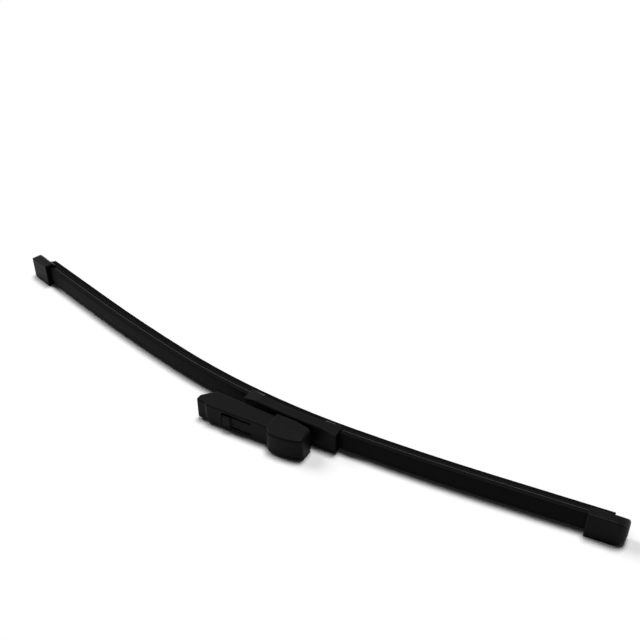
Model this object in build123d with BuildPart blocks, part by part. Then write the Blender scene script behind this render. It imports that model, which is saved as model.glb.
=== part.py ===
"""A flat wiper blade with a rocking arm adapter, lying on its side as it rests on a table.

X runs along the blade, +Y points from its back to the wiping lip and Z is up from the table.
Sections across the blade are drawn with the depth below the back first and the height above
the blade's middle plane second. Pieces are modelled about the blade's middle and set down on
the table when they are written.
"""
import os
from math import radians, sin, cos

from build123d import *

# Line of the back: straight at both ends, bent most under the connector
blade_length = 400.0
middle_radius = 474.0
middle_turn = 7.0
shoulder_radius = 1249.0
shoulder_turn = 3.5

# Clearances between pieces
slip = 0.06
cap_fit = 0.1
butt_gap = 0.2
pin_press = 0.02
pin_running = 0.05
cheek_gap = 0.3

# Spring rails
rail_width = 3.0
rail_thickness = 0.9
rail_spacing = 2.5
rail_depth = 2.2
rail_setback = 0.8

# Rubber element
head_width = 4.8
head_thickness = 0.8
flange_width = 5.8
flange_thickness = 1.2
neck_width = 0.9
neck_length = 0.9
shoulder_width = 5.4
shoulder_thickness = 0.7
wedge_length = 2.6
wedge_end_width = 2.0
lip_length = 2.7
lip_thickness = 0.8

# Cover extrusion
cover_flank = 0.94
cover_flank_depth = 2.6
cover_hook = 0.9
hook_reach = 0.9
cover_bevel = 1.1
cover_crown = 0.15
cover_round = 0.6

# End caps
cap_grip = 11.5
cap_tip_length = 7.5
cap_wall = 2.06
cap_back = 2.1
cap_hook = 0.9
cap_flank_depth = 2.9
cap_chin_depth = 6.0
cap_chin_width = 8.0
cap_nose_round = 4.6
cap_chin_round = 3.2
cap_tip_round = 6.8
cap_tip_trim = 0.2
cap_slot_width = 7.4
tip_room = 0.6
cap_round = 0.5

# Connector base: saddle on the rails with a lug for the pivot
pivot_place = 33.2
pivot_height = 7.9
base_left_reach = 34.0
base_right_reach = 22.0
base_rise = 3.4
base_flank_depth = 2.6
base_bevel = 1.4
base_round = 1.4
base_taper = 1.6
base_taper_length = 9.0
base_hook = 1.2
claw_length = 9.0
lug_thickness = 6.4
lug_radius = 3.7
lug_foot_width = 11.0
pin_diameter = 4.0
pin_length = 12.0
pin_bevel = 0.3

# Arm adapter, measured from the pivot along the adapter, which lies a little lifted from the blade
adapter_lift = 2.5
block_width = 14.4
block_left = 11.0
block_right = 10.0
block_left_height = 8.5
block_facet_length = 2.6
block_facet_height = 10.6
block_crown_place = 3.5
block_crown_height = 11.0
block_right_height = 8.4
block_underside = 3.2
block_heel_length = 10.0
block_heel_depth = 0.9
block_end_round = 2.8
block_round = 2.0
flank_bevel_place = 3.4
flank_bevel = 0.8
nose_width = 12.4
nose_reach = 55.2
nose_height = 6.9
nose_blunt = 4.0
nose_slant = 6.2
nose_tip_depth = 4.8
nose_root_depth = 2.6
nose_tip_step = 1.1
nose_tip_length = 7.0
nose_step_run = 1.6
nose_tip_round = 1.6
nose_corner_round = 1.3
nose_round = 0.8
nose_wall = 1.7
nose_end_wall = 11.5
rib_place = 18.5
rib_thickness = 1.4
lug_room = 0.5
pocket_width = 14.4
snap_slot_width = 3.4
pin_end_gap = 0.2

# Lock tongue cut free in the nose's outer wall
tongue_width = 6.4
tongue_length = 17.0
tongue_end = 38.0
tongue_slot = 0.9
button_length = 5.0
button_rise = 1.1
button_round = 0.6

# Sizes that follow from those above
half_length = blade_length / 2
rail_bottom = rail_depth + rail_thickness
rail_inner = rail_spacing / 2
rail_outer = rail_inner + rail_width
head_top = rail_depth - slip - head_thickness
flange_top = rail_bottom + slip
flange_bottom = flange_top + flange_thickness
neck_bottom = flange_bottom + neck_length
shoulder_bottom = neck_bottom + shoulder_thickness
wedge_end = shoulder_bottom + wedge_length
lip_depth = wedge_end + lip_length
cover_half = rail_outer + slip + cover_flank
cover_depth = rail_bottom + slip + cover_hook
hook_tip = rail_outer - hook_reach
channel_half = head_width / 2 + slip
channel_top = head_top - slip
cap_length = cap_grip + cap_tip_length
cap_half = cover_half + cap_fit + cap_wall
cap_proud = cap_fit + cap_back
cap_hook_depth = cover_depth + cap_fit + cap_hook
cover_reach = half_length - cap_tip_length
rubber_reach = cover_reach
rail_reach = cover_reach - rail_setback
base_half = cap_half
base_depth = rail_bottom + slip + base_hook
base_start = pivot_place - base_left_reach
base_end = pivot_place + base_right_reach
pin_radius = pin_diameter / 2
nose_step_place = nose_reach - nose_tip_length
nose_cavity_end = nose_reach - nose_end_wall
up = Vector(0, 0, 1)

# The back line, drawn from the left tip through the blade's middle at the origin
end_turn = middle_turn + shoulder_turn
middle_arc = middle_radius * radians(middle_turn)
shoulder_arc = shoulder_radius * radians(shoulder_turn)
straight_length = half_length - middle_arc - shoulder_arc
tip_x = (
    middle_radius * sin(radians(middle_turn))
    + shoulder_radius * (sin(radians(end_turn)) - sin(radians(middle_turn)))
    + straight_length * cos(radians(end_turn))
)
tip_y = (
    middle_radius * (1 - cos(radians(middle_turn)))
    + shoulder_radius * (cos(radians(middle_turn)) - cos(radians(end_turn)))
    + straight_length * sin(radians(end_turn))
)
with BuildLine() as back_line:
    left_run = PolarLine((-tip_x, tip_y), straight_length, -end_turn)
    left_shoulder = JernArc(left_run @ 1, left_run % 1, shoulder_radius, shoulder_turn)
    middle = JernArc(left_shoulder @ 1, left_shoulder % 1, middle_radius, 2 * middle_turn)
    right_shoulder = JernArc(middle @ 1, middle % 1, shoulder_radius, shoulder_turn)
    right_run = PolarLine(right_shoulder @ 1, straight_length, end_turn)
spine = back_line.wire()


def station(distance):
    """Plane across the blade at a distance along the back from its middle."""
    along = half_length + distance
    tangent = spine.tangent_at(along, PositionMode.LENGTH)
    return Plane(spine.position_at(along, PositionMode.LENGTH), x_dir=up.cross(tangent), z_dir=tangent)


def stretch(start, end):
    """The back line between two distances from the blade's middle."""
    return spine.trim((half_length + start) / blade_length, (half_length + end) / blade_length)


pivot_foot = station(pivot_place)
pivot_centre = pivot_foot.origin - pivot_foot.x_dir * pivot_height
pivot_plane = Plane(pivot_centre, x_dir=pivot_foot.z_dir, z_dir=up)
adapter_plane = pivot_plane.rotated((0, 0, adapter_lift))
block_end = Plane(
    adapter_plane.from_local_coords(Vector(-block_left, 0, 0)),
    x_dir=adapter_plane.y_dir,
    z_dir=adapter_plane.x_dir,
)
nose_back = Plane(
    adapter_plane.from_local_coords(Vector(0, -nose_height, 0)),
    x_dir=adapter_plane.x_dir,
    z_dir=adapter_plane.y_dir,
)


def seen_from_pivot(shape):
    """Centre of a shape, along the adapter, towards the lip and up from the pivot."""
    return adapter_plane.to_local_coords(shape.center())


pieces = {}

# Rubber element: head between the rails, hinge neck, shoulders and wiping lip
with BuildPart() as wiper_rubber:
    with BuildSketch(station(-rubber_reach)):
        with BuildLine():
            half_section = Polyline(
                (head_top, 0),
                (head_top, head_width / 2),
                (rail_depth - slip, head_width / 2),
                (rail_depth - slip, rail_inner - slip),
                (flange_top, rail_inner - slip),
                (flange_top, flange_width / 2),
                (flange_top + flange_thickness / 2, flange_width / 2),
                (flange_bottom, neck_width / 2),
                (neck_bottom, neck_width / 2),
                (neck_bottom, shoulder_width / 2),
                (shoulder_bottom, shoulder_width / 2),
                (wedge_end, wedge_end_width / 2),
                (lip_depth, lip_thickness / 2),
                (lip_depth, 0),
            )
            mirror(half_section, about=Plane.XZ)
        make_face()
    sweep(path=stretch(-rubber_reach, rubber_reach))
pieces["wiper_rubber"] = wiper_rubber

# Spring rails, one in each side groove of the rubber
for rail_name, side in (("rail_upper", 1), ("rail_lower", -1)):
    with BuildPart() as rail:
        with BuildSketch(station(-rail_reach)):
            with Locations((rail_depth + rail_thickness / 2, side * (rail_inner + rail_width / 2))):
                Rectangle(rail_thickness, rail_width)
        sweep(path=stretch(-rail_reach, rail_reach))
    pieces[rail_name] = rail


def cover_outside():
    """Half of the cover's outer outline, from the middle of its back to the edge of its hook."""
    crown = TangentArc((0, 0), (cover_crown, cover_half - cover_round), tangent=(0, 1))
    corner = TangentArc(crown @ 1, (cover_crown + cover_round, cover_half), tangent=crown % 1)
    flank = Polyline(corner @ 1, (cover_flank_depth, cover_half), (cover_depth, cover_half - cover_bevel))
    return [crown, corner, flank]


def rail_seat(hook_edge):
    """Half of the inside that hooks round a rail and clears the rubber's head."""
    return Polyline(
        hook_edge,
        (hook_edge.X, hook_tip),
        (rail_bottom + slip, hook_tip),
        (rail_bottom + slip, rail_outer + slip),
        (rail_depth - slip, rail_outer + slip),
        (rail_depth - slip, channel_half),
        (channel_top, channel_half),
        (channel_top, 0),
    )


# Cover extrusion, hooked round the rails' outer edges, in two lengths
cover_runs = (
    ("cover_left", -cover_reach, base_start - butt_gap),
    ("cover_right", base_end + butt_gap, cover_reach),
)
for cover_name, start, end in cover_runs:
    with BuildPart() as cover:
        with BuildSketch(station(start)):
            with BuildLine():
                outside = cover_outside()
                inside = rail_seat(outside[-1] @ 1)
                mirror([*outside, inside], about=Plane.XZ)
            make_face()
        sweep(path=stretch(start, end))
    pieces[cover_name] = cover

# End caps: clipped over the cover's ends, rounded from the side and from the back
for cap_name, side in (("end_cap_left", -1), ("end_cap_right", 1)):
    inner_end = station(side * (half_length - cap_length))
    cap_plane = Plane(inner_end.origin, x_dir=inner_end.x_dir, z_dir=inner_end.z_dir * side)
    side_plane = Plane(inner_end.origin, x_dir=cap_plane.z_dir, z_dir=up * side)
    back_plane = Plane(inner_end.origin, x_dir=cap_plane.z_dir, z_dir=inner_end.x_dir)
    with BuildPart() as end_cap:
        with BuildSketch(cap_plane):
            with BuildLine():
                half_section = Polyline(
                    (-cap_proud, 0),
                    (-cap_proud, cap_half),
                    (cap_flank_depth, cap_half),
                    (cap_chin_depth, cap_chin_width / 2),
                    (cap_chin_depth, 0),
                )
                mirror(half_section, about=Plane.XZ)
            make_face()
        extrude(amount=cap_length)
        with BuildSketch(side_plane) as side_profile:
            with Locations((0, -cap_proud)):
                Rectangle(cap_length, cap_proud + cap_chin_depth, align=(Align.MIN, Align.MIN))
            tip_corners = side_profile.vertices().group_by(Axis.X)[-1].sort_by(Axis.Y)
            fillet(tip_corners[0], cap_nose_round)
            fillet(tip_corners[-1], cap_chin_round)
        extrude(amount=2 * cap_half, both=True, mode=Mode.INTERSECT)
        with BuildSketch(back_plane) as back_profile:
            Rectangle(cap_length + cap_tip_trim, 2 * cap_half, align=(Align.MIN, Align.CENTER))
            fillet(back_profile.vertices().group_by(Axis.X)[-1], cap_tip_round)
        extrude(amount=2 * cap_half, both=True, mode=Mode.INTERSECT)

        # The rims of the back and of its rounded end
        back_face = end_cap.faces().sort_by(Axis(inner_end.origin, inner_end.x_dir))[0]
        rims = back_face.edges().filter_by(lambda rim: abs(rim.center().Z) > slip)
        fillet(rims, cap_round)

        # Room for the lip, for the end of the cover and for the rubber between the hooks
        with BuildSketch(side_plane):
            with Locations((0, cap_hook_depth)):
                Rectangle(cap_grip + tip_room, cap_chin_depth, align=(Align.MIN, Align.MIN))
        extrude(amount=2 * cap_half, both=True, mode=Mode.SUBTRACT)
        with BuildSketch(cap_plane):
            with BuildLine():
                outside = cover_outside()
                floor = Line(outside[-1] @ 1, (cover_depth, 0))
                mirror([*outside, floor], about=Plane.XZ)
            make_face()
            offset(amount=cap_fit)
        extrude(amount=cap_grip + butt_gap, mode=Mode.SUBTRACT)
        with BuildSketch(cap_plane):
            with Locations((cover_depth, 0)):
                Rectangle(cap_chin_depth, cap_slot_width, align=(Align.MIN, Align.CENTER))
        extrude(amount=cap_grip + tip_room, mode=Mode.SUBTRACT)
    pieces[cap_name] = end_cap

# Connector base: a saddle over the rails, clawed round them at both ends, with the pivot's lug
with BuildPart() as connector_base:
    with BuildSketch(station(base_start)):
        with BuildLine():
            outside = Polyline(
                (-base_rise, 0),
                (-base_rise, base_half),
                (base_flank_depth, base_half),
                (base_depth, base_half - base_bevel),
            )
            inside = rail_seat(outside @ 1)
            mirror([outside, inside], about=Plane.XZ)
        section = make_face()
        fillet(section.vertices().group_by(Axis.X)[0], base_round)
    sweep(path=stretch(base_start, base_end))
    with BuildSketch(station(base_start + claw_length)):
        with Locations((rail_depth - slip, 0)):
            Rectangle(base_depth, 2 * base_half, align=(Align.MIN, Align.CENTER))
    sweep(path=stretch(base_start + claw_length, base_end - claw_length), mode=Mode.SUBTRACT)

    # Both ends close in on the cover, then the lug rises from the middle
    for end, inward in ((base_start, 1), (base_end, -1)):
        end_station = station(end)
        end_plane = Plane(end_station.origin, x_dir=end_station.z_dir * inward, z_dir=end_station.x_dir)
        with BuildSketch(end_plane):
            with BuildLine():
                Polyline(
                    (0, base_half),
                    (base_taper_length, base_half),
                    (0, base_half - base_taper),
                    close=True,
                )
            make_face()
            mirror(about=Plane.XZ)
        extrude(amount=2 * base_half, both=True, mode=Mode.SUBTRACT)
    with BuildSketch(pivot_plane):
        with BuildLine():
            CenterArc((0, 0), lug_radius, 0, 360)
            Line((-lug_foot_width / 2, pivot_height), (lug_foot_width / 2, pivot_height))
        make_hull()
    extrude(amount=lug_thickness / 2, both=True)
    with BuildSketch(pivot_plane):
        Circle(pin_radius + pin_press)
    extrude(amount=lug_thickness, both=True, mode=Mode.SUBTRACT)
pieces["connector_base"] = connector_base

# Pivot pin, pressed into the base's lug
with BuildPart() as pivot_pin:
    with BuildSketch(pivot_plane):
        Circle(pin_radius)
    extrude(amount=pin_length / 2, both=True)
    chamfer(pivot_pin.edges().filter_by(GeomType.CIRCLE), pin_bevel)
pieces["pivot_pin"] = pivot_pin

# Arm adapter: a hollow nose that plugs into the arm and a block that rocks on the pin
with BuildPart() as adapter:
    with BuildSketch(adapter_plane) as nose_profile:
        with BuildLine():
            Polyline(
                (-block_left, -nose_height),
                (-nose_step_place, -nose_height),
                (-nose_step_place - nose_step_run, nose_tip_step - nose_height),
                (-nose_reach, nose_tip_step - nose_height),
                (-nose_reach, nose_tip_step + nose_blunt - nose_height),
                (-nose_reach + nose_slant, nose_tip_depth),
                (-block_left, nose_root_depth),
                close=True,
            )
        make_face()
        fillet(nose_profile.vertices().group_by(Axis.X)[0].sort_by(Axis.Y)[0], nose_corner_round)
        fillet(nose_profile.vertices().group_by(Axis.X)[0].sort_by(Axis.Y)[-1], nose_tip_round)
    extrude(amount=nose_width / 2, both=True)
    nose_sides = adapter.faces().sort_by(Axis.Z)
    nose_rims = nose_sides[0].edges() + nose_sides[-1].edges()
    nose_rims = nose_rims.filter_by(lambda rim: seen_from_pivot(rim).X < -block_left - slip)
    fillet(nose_rims.filter_by(lambda rim: seen_from_pivot(rim).Y < nose_tip_depth), nose_round)

    # The block: its heel is cut back so that it can rock, and its flanks close in towards the arm
    with BuildSketch(adapter_plane) as block_profile:
        with BuildLine():
            crown = ThreePointArc(
                (block_facet_length - block_left, -block_facet_height),
                (-block_crown_place, -block_crown_height),
                (block_right, -block_right_height),
            )
            Polyline(
                crown @ 1,
                (block_right, block_heel_depth),
                (block_right - block_heel_length, block_underside),
                (-block_left, block_underside),
                (-block_left, -block_left_height),
                crown @ 0,
            )
        make_face()
        fillet(block_profile.vertices().group_by(Axis.X)[-1].sort_by(Axis.Y)[0], block_end_round)
    extrude(amount=block_width / 2, both=True)
    block_sides = adapter.faces().sort_by(Axis.Z)
    block_rims = block_sides[0].edges() + block_sides[-1].edges()
    block_rims = block_rims.filter_by(lambda rim: seen_from_pivot(rim).X > slip - block_left)
    fillet(block_rims.filter_by(lambda rim: seen_from_pivot(rim).Y < block_heel_depth), block_round)
    with BuildSketch(block_end):
        with BuildLine():
            Polyline(
                (-flank_bevel_place, block_width / 2),
                (-block_crown_height, block_width / 2),
                (-block_crown_height, block_width / 2 - flank_bevel),
                close=True,
            )
        make_face()
        mirror(about=Plane.XZ)
    extrude(amount=block_left + block_right, mode=Mode.SUBTRACT)

    # The nose's hollow, open towards the blade, with a rib in front of the lock tongue
    with BuildSketch(adapter_plane):
        with Locations((-nose_cavity_end, -nose_height + nose_wall)):
            Rectangle(
                nose_cavity_end - block_left - nose_wall,
                nose_height + nose_tip_depth,
                align=(Align.MIN, Align.MIN),
            )
        with Locations((-rib_place, 0)):
            Rectangle(rib_thickness, 2 * nose_height, mode=Mode.SUBTRACT)
    extrude(amount=nose_width / 2 - nose_wall, both=True, mode=Mode.SUBTRACT)

    # The pocket for the lug, then the cheeks' bores and the slots that snap over the pin
    with BuildSketch(adapter_plane):
        with BuildLine():
            CenterArc((0, 0), lug_radius + lug_room, 0, 360)
            Line((-pocket_width / 2, block_underside), (pocket_width / 2, block_underside))
        make_hull()
    extrude(amount=lug_thickness / 2 + cheek_gap, both=True, mode=Mode.SUBTRACT)
    with BuildSketch(adapter_plane):
        Circle(pin_radius + pin_running)
        Rectangle(snap_slot_width, block_underside, align=(Align.CENTER, Align.MIN))
    extrude(amount=pin_length / 2 + pin_end_gap, both=True, mode=Mode.SUBTRACT)

    # The lock tongue, cut free on three sides, and the button near its end
    with BuildSketch(nose_back):
        with Locations((-tongue_end - tongue_slot, 0)):
            Rectangle(
                tongue_length + tongue_slot,
                tongue_width + 2 * tongue_slot,
                align=(Align.MIN, Align.CENTER),
            )
        with Locations((-tongue_end, 0)):
            Rectangle(tongue_length, tongue_width, align=(Align.MIN, Align.CENTER), mode=Mode.SUBTRACT)
    extrude(amount=nose_wall, mode=Mode.SUBTRACT)
    with BuildSketch(nose_back):
        with Locations((-tongue_end, 0)):
            Rectangle(button_length, tongue_width, align=(Align.MIN, Align.CENTER))
    extrude(amount=-button_rise)
    button_face = adapter.faces().filter_by(lambda face: seen_from_pivot(face).X < -block_left)
    button_face = button_face.sort_by(Axis(adapter_plane.origin, adapter_plane.y_dir))[0]
    fillet(button_face.edges(), button_round)
pieces["adapter"] = adapter

# Set the blade down on the table, with the middle of its footprint at the origin
boxes = [piece.part.bounding_box() for piece in pieces.values()]
middle_y = (min(box.min.Y for box in boxes) + max(box.max.Y for box in boxes)) / 2
at_rest = Location((0, -middle_y, cap_half))

os.makedirs("parts", exist_ok=True)
for name, piece in pieces.items():
    piece.part = piece.part.moved(at_rest)
    piece.part.label = name
    export_step(piece.part, f"parts/{name}.step")
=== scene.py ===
"""A black flat wiper blade lying on its side on a white table, seen from above and from its back."""
import math

import bpy
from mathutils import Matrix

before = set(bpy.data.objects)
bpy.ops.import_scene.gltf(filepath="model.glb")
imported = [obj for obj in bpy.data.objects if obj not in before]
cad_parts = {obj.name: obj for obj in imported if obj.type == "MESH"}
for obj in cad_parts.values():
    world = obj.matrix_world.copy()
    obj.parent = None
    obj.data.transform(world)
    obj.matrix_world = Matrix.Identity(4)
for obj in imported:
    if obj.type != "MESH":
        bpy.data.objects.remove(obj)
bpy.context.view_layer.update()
scene = bpy.context.scene

# Camera, in metres and degrees
CAMERA_PLACE = (0.25328, -0.30323, 0.3479)
CAMERA_AZIMUTH = 35.142
CAMERA_ELEVATION = 36.493
CAMERA_ROLL = -0.205
CAMERA_LENS_MM = 54.361
SENSOR_MM = 36.0
NEAREST = 0.01
FARTHEST = 20.0

# Table and room
TABLE_SIZE = 8.0
TABLE_COLOUR = (0.97, 0.97, 0.97, 1.0)
TABLE_ROUGHNESS = 0.9
ROOM_COLOUR = (1.0, 1.0, 1.0, 1.0)
ROOM_STRENGTH = 0.03
ROOM_STRENGTH_SEEN = 1.0

# Lights far away: turn round the table from +X, height over it, width in the sky (degrees) and strength
TOP_LIGHT = (100.0, 79.0, 18.0, 2.29)
SIDE_LIGHT = (182.0, 47.0, 26.0, 1.25)

# The bend of the blade's line: its rise towards the lip is this times the square of X
BLADE_BEND = 0.77

# Patterns: how many to the metre, and how rich in finer detail
GRAIN = (5200.0, 2.0)
CLOUDS = (90.0, 3.0)
STREAKS = (1500.0, 3.0)
DUST = (420.0, 4.0)
DIE_LINES = (2600.0, 2.0)
BLOOM = (160.0, 4.0)
RUBBED_COAT = (900.0, 4.0)
GRINDING_RINGS = (9000.0, 2.0)

# How patterns are drawn out: the share of the position left along the blade, or in X, Y and Z of the pin
STREAK_STRETCH = 0.012
DIE_LINE_STRETCH = 0.006
COAT_STRETCH = 0.03
RING_SHARES = (0.05, 0.05, 1.0)

# Relief of the surfaces: strength, and depth in metres
GRAIN_RELIEF = (0.5, 0.00008)
STREAK_RELIEF = (0.45, 0.00008)
DIE_LINE_RELIEF = (0.4, 0.00006)
COAT_RELIEF = (0.1, 0.00003)

# Darkest and palest colour of each material
MOULDING_COLOURS = ((0.0014, 0.0014, 0.0015), (0.0026, 0.0026, 0.0028))
COVER_COLOURS = ((0.0014, 0.0014, 0.0015), (0.0024, 0.0024, 0.0026))
RUBBER_COLOURS = ((0.0028, 0.0028, 0.0028), (0.005, 0.005, 0.005))
RAIL_COLOURS = ((0.012, 0.012, 0.013), (0.035, 0.035, 0.037))
PIN_COLOURS = ((0.42, 0.42, 0.43), (0.55, 0.55, 0.56))

# Smallest and largest roughness of each material
MOULDING_ROUGHNESS = (0.36, 0.48)
COVER_ROUGHNESS = (0.42, 0.56)
RUBBER_ROUGHNESS = (0.62, 0.82)
RAIL_ROUGHNESS = (0.3, 0.5)
PIN_ROUGHNESS = (0.22, 0.34)

# Gloss
MOULDING_SPECULAR = 0.05
COVER_SPECULAR = 0.028
RUBBER_SPECULAR = 0.008
RAIL_METALLIC = 0.6
PIN_METALLIC = 1.0

# Edges of the mouldings: radius in metres, and how much smoother they are rubbed
WIDE_EDGE = 0.0012
NARROW_EDGE = 0.0003
EDGE_SAMPLES = 8
EDGE_RUBBING = 4.0
MOST_RUBBED = 0.24


def camera():
    """The photograph's view."""
    data = bpy.data.cameras.new("camera")
    data.lens = CAMERA_LENS_MM
    data.sensor_width = SENSOR_MM
    data.clip_start = NEAREST
    data.clip_end = FARTHEST
    eye = bpy.data.objects.new("camera", data)
    eye.location = CAMERA_PLACE
    eye.rotation_euler = (math.radians(90 - CAMERA_ELEVATION), 0, math.radians(CAMERA_AZIMUTH))
    eye.rotation_euler.rotate_axis("Z", math.radians(CAMERA_ROLL))
    scene.collection.objects.link(eye)
    scene.camera = eye


class Nodes:
    """Short ways to add and join shader nodes in one material or world."""

    def __init__(self, tree):
        self.tree = tree
        tree.nodes.clear()

    def add(self, kind, **settings):
        node = self.tree.nodes.new(kind)
        for name, value in settings.items():
            setattr(node, name, value)
        return node

    def join(self, output, socket):
        self.tree.links.new(output, socket)

    def math(self, operation, first, second):
        node = self.add("ShaderNodeMath", operation=operation)
        for socket, value in zip(node.inputs, (first, second)):
            if isinstance(value, (int, float)):
                socket.default_value = value
            else:
                self.join(value, socket)
        return node.outputs[0]

    def place(self):
        """Position on the piece."""
        return self.add("ShaderNodeTexCoord").outputs["Object"]

    def noise(self, vector, pattern):
        scale, detail = pattern
        node = self.add("ShaderNodeTexNoise")
        node.inputs["Scale"].default_value = scale
        node.inputs["Detail"].default_value = detail
        self.join(vector, node.inputs["Vector"])
        return node.outputs["Fac"]

    def between(self, value, low, high):
        node = self.add("ShaderNodeMapRange")
        node.inputs["To Min"].default_value = low
        node.inputs["To Max"].default_value = high
        self.join(value, node.inputs["Value"])
        return node.outputs["Result"]

    def bump(self, height, relief, normal=None):
        strength, depth = relief
        node = self.add("ShaderNodeBump")
        node.inputs["Strength"].default_value = strength
        node.inputs["Distance"].default_value = depth
        self.join(height, node.inputs["Height"])
        if normal is not None:
            self.join(normal, node.inputs["Normal"])
        return node.outputs["Normal"]

    def softened(self, radius):
        """The surface's direction with sharp edges rounded off, and a value that is above 0 on them."""
        rounded = self.add("ShaderNodeBevel", samples=EDGE_SAMPLES)
        rounded.inputs["Radius"].default_value = radius
        face = self.add("ShaderNodeNewGeometry").outputs["Normal"]
        likeness = self.add("ShaderNodeVectorMath", operation="DOT_PRODUCT")
        self.join(rounded.outputs["Normal"], likeness.inputs[0])
        self.join(face, likeness.inputs[1])
        return rounded.outputs["Normal"], self.math("SUBTRACT", 1.0, likeness.outputs["Value"])

    def along_blade(self, stretch):
        """Position with the blade's bend taken out, pressed together along the blade."""
        split = self.add("ShaderNodeSeparateXYZ")
        self.join(self.place(), split.inputs[0])
        rise = self.math("MULTIPLY", self.math("POWER", split.outputs["X"], 2.0), BLADE_BEND)
        pressed = self.add("ShaderNodeCombineXYZ")
        self.join(self.math("MULTIPLY", split.outputs["X"], stretch), pressed.inputs["X"])
        self.join(self.math("SUBTRACT", split.outputs["Y"], rise), pressed.inputs["Y"])
        self.join(split.outputs["Z"], pressed.inputs["Z"])
        return pressed.outputs[0]

    def colours(self, value, shades):
        dark, pale = shades
        node = self.add("ShaderNodeMix", data_type="RGBA")
        node.inputs["A"].default_value = (*dark, 1.0)
        node.inputs["B"].default_value = (*pale, 1.0)
        self.join(value, node.inputs["Factor"])
        return node.outputs["Result"]


def material(name):
    """An empty material and its shader: (material, nodes, principled shader)."""
    made = bpy.data.materials.new(name)
    made.use_nodes = True
    nodes = Nodes(made.node_tree)
    shader = nodes.add("ShaderNodeBsdfPrincipled")
    output = nodes.add("ShaderNodeOutputMaterial")
    nodes.join(shader.outputs[0], output.inputs["Surface"])
    return made, nodes, shader


def moulding_material(name, edge_radius):
    """Black glass-filled plastic from a spark-eroded mould: fine grain, satin, edges rubbed smoother."""
    made, nodes, shader = material(name)
    place = nodes.place()
    grain = nodes.noise(place, GRAIN)
    clouds = nodes.noise(place, CLOUDS)
    edge_normal, edges = nodes.softened(edge_radius)
    nodes.join(nodes.colours(clouds, MOULDING_COLOURS), shader.inputs["Base Color"])
    rubbed = nodes.math("MINIMUM", nodes.math("MULTIPLY", edges, EDGE_RUBBING), MOST_RUBBED)
    roughness = nodes.math("SUBTRACT", nodes.between(clouds, *MOULDING_ROUGHNESS), rubbed)
    nodes.join(roughness, shader.inputs["Roughness"])
    nodes.join(nodes.bump(grain, GRAIN_RELIEF, edge_normal), shader.inputs["Normal"])
    shader.inputs["Specular IOR Level"].default_value = MOULDING_SPECULAR
    return made


def cover_material():
    """Black extruded elastomer: streaks along the blade from the die, satin."""
    made, nodes, shader = material("black_cover")
    streaks = nodes.noise(nodes.along_blade(STREAK_STRETCH), STREAKS)
    dust = nodes.noise(nodes.place(), DUST)
    nodes.join(nodes.colours(dust, COVER_COLOURS), shader.inputs["Base Color"])
    nodes.join(nodes.between(streaks, *COVER_ROUGHNESS), shader.inputs["Roughness"])
    nodes.join(nodes.bump(streaks, STREAK_RELIEF), shader.inputs["Normal"])
    shader.inputs["Specular IOR Level"].default_value = COVER_SPECULAR
    return made


def rubber_material():
    """Matte black rubber with die lines along it and a faint bloom."""
    made, nodes, shader = material("black_rubber")
    lines = nodes.noise(nodes.along_blade(DIE_LINE_STRETCH), DIE_LINES)
    bloom = nodes.noise(nodes.place(), BLOOM)
    nodes.join(nodes.colours(bloom, RUBBER_COLOURS), shader.inputs["Base Color"])
    nodes.join(nodes.between(bloom, *RUBBER_ROUGHNESS), shader.inputs["Roughness"])
    nodes.join(nodes.bump(lines, DIE_LINE_RELIEF), shader.inputs["Normal"])
    shader.inputs["Specular IOR Level"].default_value = RUBBER_SPECULAR
    return made


def rail_material():
    """Spring steel under a thin black coat, with rubbed streaks."""
    made, nodes, shader = material("coated_steel")
    rubbed = nodes.noise(nodes.along_blade(COAT_STRETCH), RUBBED_COAT)
    nodes.join(nodes.colours(rubbed, RAIL_COLOURS), shader.inputs["Base Color"])
    nodes.join(nodes.between(rubbed, *RAIL_ROUGHNESS), shader.inputs["Roughness"])
    nodes.join(nodes.bump(rubbed, COAT_RELIEF), shader.inputs["Normal"])
    shader.inputs["Metallic"].default_value = RAIL_METALLIC
    return made


def pin_material():
    """Ground steel with fine rings round the pin."""
    made, nodes, shader = material("ground_steel")
    shrink = nodes.add("ShaderNodeMapping")
    shrink.inputs["Scale"].default_value = RING_SHARES
    nodes.join(nodes.place(), shrink.inputs["Vector"])
    rings = nodes.noise(shrink.outputs[0], GRINDING_RINGS)
    nodes.join(nodes.colours(rings, PIN_COLOURS), shader.inputs["Base Color"])
    nodes.join(nodes.between(rings, *PIN_ROUGHNESS), shader.inputs["Roughness"])
    shader.inputs["Metallic"].default_value = PIN_METALLIC
    return made


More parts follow.
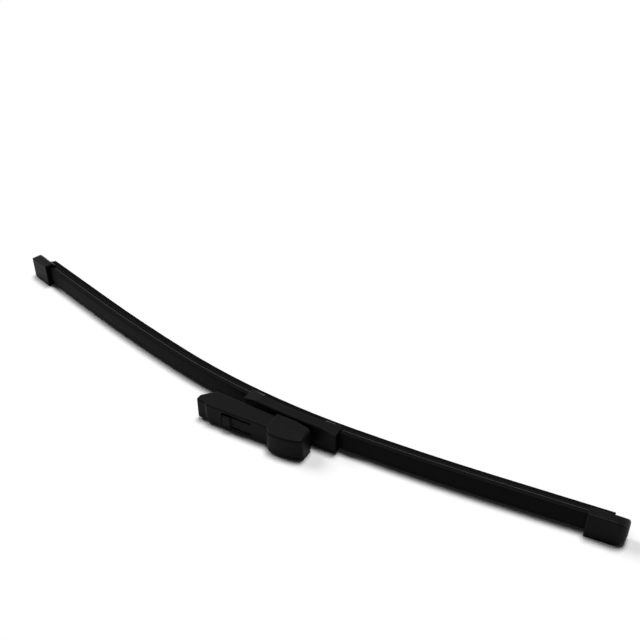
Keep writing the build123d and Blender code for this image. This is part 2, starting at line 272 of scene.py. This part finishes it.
def table():
    """A plain white table top that keeps the blade's shadow."""
    made, _, shader = material("table")
    shader.inputs["Base Color"].default_value = TABLE_COLOUR
    shader.inputs["Roughness"].default_value = TABLE_ROUGHNESS
    shader.inputs["Specular IOR Level"].default_value = 0.0
    half = TABLE_SIZE / 2
    corners = [(-half, -half, 0), (half, -half, 0), (half, half, 0), (-half, half, 0)]
    mesh = bpy.data.meshes.new("table")
    mesh.from_pydata(corners, [], [(0, 1, 2, 3)])
    mesh.materials.append(made)
    top = bpy.data.objects.new("table", mesh)
    scene.collection.objects.link(top)


def seen_directly(nodes):
    """1 for rays from the camera, in reflections and through glass, and 0 for light that bounces."""
    path = nodes.add("ShaderNodeLightPath")
    seen = nodes.math("MAXIMUM", path.outputs["Is Camera Ray"], path.outputs["Is Glossy Ray"])
    return nodes.math("MAXIMUM", seen, path.outputs["Is Transmission Ray"])


def room():
    """An even room that shows white behind the table and gives little light."""
    world = bpy.data.worlds.new("room")
    world.use_nodes = True
    nodes = Nodes(world.node_tree)
    light = nodes.add("ShaderNodeBackground")
    light.inputs["Color"].default_value = ROOM_COLOUR
    strength = nodes.between(seen_directly(nodes), ROOM_STRENGTH, ROOM_STRENGTH_SEEN)
    nodes.join(strength, light.inputs["Strength"])
    output = nodes.add("ShaderNodeOutputWorld")
    nodes.join(light.outputs[0], output.inputs["Surface"])
    scene.world = world


def far_light(name, turn, height, width, strength):
    """A soft light, far away."""
    data = bpy.data.lights.new(name, "SUN")
    data.energy = strength
    data.angle = math.radians(width)
    made = bpy.data.objects.new(name, data)
    made.rotation_euler = (0, math.radians(90 - height), math.radians(turn))
    scene.collection.objects.link(made)


def dress(finish, *nodes):
    """Gives CAD nodes one finished material."""
    for name in nodes:
        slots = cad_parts[name].data.materials
        slots.clear()
        slots.append(finish)


scene.view_settings.view_transform = "Standard"
camera()
table()
room()
far_light("top_light", *TOP_LIGHT)
far_light("side_light", *SIDE_LIGHT)
dress(rubber_material(), "wiper_rubber")
dress(cover_material(), "cover_left", "cover_right")
dress(moulding_material("black_moulding", WIDE_EDGE), "end_cap_left", "end_cap_right", "adapter")
dress(moulding_material("base_moulding", NARROW_EDGE), "connector_base")
dress(rail_material(), "rail_upper", "rail_lower")
dress(pin_material(), "pivot_pin")
